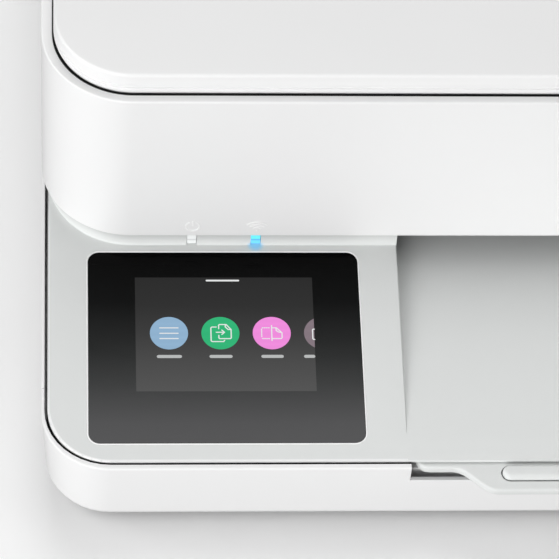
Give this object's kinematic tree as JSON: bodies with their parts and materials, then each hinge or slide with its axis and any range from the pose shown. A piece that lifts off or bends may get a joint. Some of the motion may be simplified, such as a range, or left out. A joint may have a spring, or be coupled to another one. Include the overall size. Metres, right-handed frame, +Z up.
{
  "type": "inkjet printer",
  "caption": "Slim white all-in-one inkjet printer with a flatbed scanner, touch panel, front paper tray, output extender and opening covers.",
  "frame": {"origin": "on the table under the middle of the printer's box, with the feet's soles at Z 0", "axes": "+X to the printer's right seen from the back, so to the viewer's right from the front; -Y out of the front; +Z up"},
  "size_m": [0.456, 0.3584, 0.1195],
  "materials": {
    "white_shell": "fine satin texture",
    "grey_shell": "fine satin texture, light grey",
    "pale_plastic": "satin",
    "dark_plastic": "satin",
    "black_glass": "polished",
    "screen": "polished",
    "circuit_board": "solder mask",
    "steel": "zinc plated sheet",
    "rubber": "matt",
    "clear_glass": "polished",
    "foam": "smooth white film over foam",
    "gear_plastic": "natural acetal",
    "cartridge_plastic": "satin",
    "white_light": "clear diffuser",
    "cyan_light": "clear diffuser"
  },
  "bodies": {
    "root": {"base_chassis": "white_shell", "foot_front_left": "rubber", "foot_front_right": "rubber", "foot_rear_left": "rubber", "foot_rear_right": "rubber", "mid_casing": "grey_shell", "control_glass": "black_glass", "display_module": "screen", "control_board": "circuit_board", "power_light_pipe": "white_light", "wireless_light_pipe": "cyan_light", "carriage_frame": "steel", "guide_rod": "steel", "encoder_strip": "clear_glass", "drive_belt": "rubber", "carriage_motor": "steel", "service_station": "rubber", "platen": "dark_plastic", "pinch_roller_bar": "dark_plastic", "star_wheel_bar": "dark_plastic", "pickup_shaft": "steel", "turn_guide": "dark_plastic", "feed_motor": "steel", "power_supply": "dark_plastic", "main_board": "circuit_board", "power_inlet": "dark_plastic", "usb_port": "steel"},
    "paper_tray": {"paper_tray": "white_shell"},
    "width_guide_left": {"width_guide_left": "pale_plastic"},
    "width_guide_right": {"width_guide_right": "pale_plastic"},
    "guide_pinion": {"guide_pinion": "gear_plastic"},
    "length_guide": {"length_guide": "pale_plastic"},
    "output_extender": {"output_extender": "grey_shell"},
    "paper_stop": {"paper_stop": "grey_shell"},
    "feed_roller": {"feed_roller": "rubber", "feed_gear": "gear_plastic"},
    "exit_roller": {"exit_roller": "rubber"},
    "idler_gear": {"idler_gear": "gear_plastic"},
    "motor_pinion": {"motor_pinion": "gear_plastic"},
    "pickup_arm": {"pickup_arm": "dark_plastic"},
    "pickup_roller": {"pickup_roller": "rubber"},
    "motor_pulley": {"motor_pulley": "steel"},
    "idler_pulley": {"idler_pulley": "gear_plastic"},
    "carriage": {"carriage": "dark_plastic"},
    "black_cartridge": {"black_cartridge": "cartridge_plastic"},
    "colour_cartridge": {"colour_cartridge": "cartridge_plastic"},
    "black_latch": {"black_latch": "pale_plastic"},
    "colour_latch": {"colour_latch": "pale_plastic"},
    "power_button": {"power_button": "pale_plastic"},
    "wireless_button": {"wireless_button": "pale_plastic"},
    "rear_access_door": {"rear_access_door": "white_shell"},
    "scanner_unit": {"scanner_housing": "white_shell", "scanner_bezel": "pale_plastic", "scanner_glass": "clear_glass", "scan_rail": "steel", "lid_hinge_left": "pale_plastic", "lid_hinge_right": "pale_plastic"},
    "scan_bar": {"scan_bar": "dark_plastic"},
    "scanner_lid": {"scanner_lid": "white_shell", "lid_pad": "foam"}
  },
  "joints": [
    {"name": "tray_slide", "type": "slide", "parent": "root", "child": "paper_tray", "axis": [0, -1, 0], "range_m": [0, 0.2]},
    {"name": "width_guide_left_slide", "type": "slide", "parent": "paper_tray", "child": "width_guide_left", "axis": [1, 0, 0], "range_m": [0, 0.057]},
    {"name": "width_guide_right_slide", "type": "slide", "parent": "paper_tray", "child": "width_guide_right", "axis": [-1, 0, 0], "range_m": [0, 0.057]},
    {"name": "guide_pinion_spin", "type": "hinge", "parent": "paper_tray", "child": "guide_pinion", "pos_m": [0, 0.005, 0.0084], "axis": [0, 0, 1], "range_deg": [-5, 530]},
    {"name": "length_guide_slide", "type": "slide", "parent": "paper_tray", "child": "length_guide", "axis": [0, 1, 0], "range_m": [0, 0.115]},
    {"name": "extender_slide", "type": "slide", "parent": "root", "child": "output_extender", "axis": [0, -1, 0], "range_m": [0, 0.1]},
    {"name": "paper_stop_flip", "type": "hinge", "parent": "output_extender", "child": "paper_stop", "pos_m": [0, -0.1721, 0.03345], "axis": [-1, 0, 0], "range_deg": [0, 85]},
    {"name": "feed_roller_spin", "type": "hinge", "parent": "root", "child": "feed_roller", "pos_m": [0, 0.07, 0.0365], "axis": [1, 0, 0], "continuous": true},
    {"name": "exit_roller_spin", "type": "hinge", "parent": "root", "child": "exit_roller", "pos_m": [0, 0.006, 0.0384], "axis": [1, 0, 0], "continuous": true},
    {"name": "idler_gear_spin", "type": "hinge", "parent": "root", "child": "idler_gear", "pos_m": [0, 0.038, 0.03745], "axis": [1, 0, 0], "continuous": true},
    {"name": "motor_pinion_spin", "type": "hinge", "parent": "root", "child": "motor_pinion", "pos_m": [0, 0.08384, 0.0194], "axis": [1, 0, 0], "continuous": true},
    {"name": "pickup_arm_lift", "type": "hinge", "parent": "root", "child": "pickup_arm", "pos_m": [0, 0.083, 0.0404], "axis": [1, 0, 0], "range_deg": [0, 14]},
    {"name": "pickup_roller_spin", "type": "hinge", "parent": "pickup_arm", "child": "pickup_roller", "pos_m": [0, 0.117, 0.0164], "axis": [1, 0, 0], "continuous": true},
    {"name": "carriage_travel", "type": "slide", "parent": "root", "child": "carriage", "axis": [-1, 0, 0], "range_m": [0, 0.302]},
    {"name": "motor_pulley_spin", "type": "hinge", "parent": "root", "child": "motor_pulley", "pos_m": [-0.20055, 0.0805, 0.0597], "axis": [0, -1, 0], "continuous": true},
    {"name": "idler_pulley_spin", "type": "hinge", "parent": "root", "child": "idler_pulley", "pos_m": [0.20055, 0.0805, 0.0597], "axis": [0, -1, 0], "continuous": true},
    {"name": "black_cartridge_slide", "type": "slide", "parent": "carriage", "child": "black_cartridge", "axis": [0, -1, 0], "range_m": [0, 0.052]},
    {"name": "colour_cartridge_slide", "type": "slide", "parent": "carriage", "child": "colour_cartridge", "axis": [0, -1, 0], "range_m": [0, 0.052]},
    {"name": "black_latch_lift", "type": "hinge", "parent": "carriage", "child": "black_latch", "pos_m": [0.172, 0.0209, 0.0822], "axis": [-1, 0, 0], "range_deg": [0, 18]},
    {"name": "colour_latch_lift", "type": "hinge", "parent": "carriage", "child": "colour_latch", "pos_m": [0.172, 0.0209, 0.0822], "axis": [-1, 0, 0], "range_deg": [0, 18]},
    {"name": "power_button_press", "type": "slide", "parent": "root", "child": "power_button", "axis": [0, -1, 0], "range_m": [0, 0.001], "stiffness_N_per_m": 600},
    {"name": "wireless_button_press", "type": "slide", "parent": "root", "child": "wireless_button", "axis": [0, -1, 0], "range_m": [0, 0.001], "stiffness_N_per_m": 600},
    {"name": "rear_door_tilt", "type": "hinge", "parent": "root", "child": "rear_access_door", "pos_m": [0, 0.17645, 0.0111], "axis": [-1, 0, 0], "range_deg": [0, 80]},
    {"name": "scanner_unit_lift", "type": "hinge", "parent": "root", "child": "scanner_unit", "pos_m": [0, 0.17315, 0.04999], "axis": [-1, 0, 0], "range_deg": [0, 40]},
    {"name": "scan_bar_travel", "type": "slide", "parent": "scanner_unit", "child": "scan_bar", "axis": [1, 0, 0], "range_m": [0, 0.32]},
    {"name": "lid_lift", "type": "hinge", "parent": "scanner_unit", "child": "scanner_lid", "pos_m": [0, 0.17445, 0.11259], "axis": [-1, 0, 0], "range_deg": [0, 80]}
  ],
  "couplings": [
    {"joint": "width_guide_right_slide", "follows": "width_guide_left_slide", "ratio": 1},
    {"joint": "guide_pinion_spin", "follows": "width_guide_left_slide", "rad_per_m": 158.73},
    {"joint": "exit_roller_spin", "follows": "feed_roller_spin", "ratio": 1},
    {"joint": "idler_gear_spin", "follows": "feed_roller_spin", "ratio": -1},
    {"joint": "motor_pinion_spin", "follows": "feed_roller_spin", "ratio": -2.6667},
    {"joint": "pickup_roller_spin", "follows": "feed_roller_spin", "ratio": 0.8125},
    {"joint": "motor_pulley_spin", "follows": "carriage_travel", "rad_per_m": 126.58},
    {"joint": "idler_pulley_spin", "follows": "carriage_travel", "rad_per_m": 126.58}
  ]
}
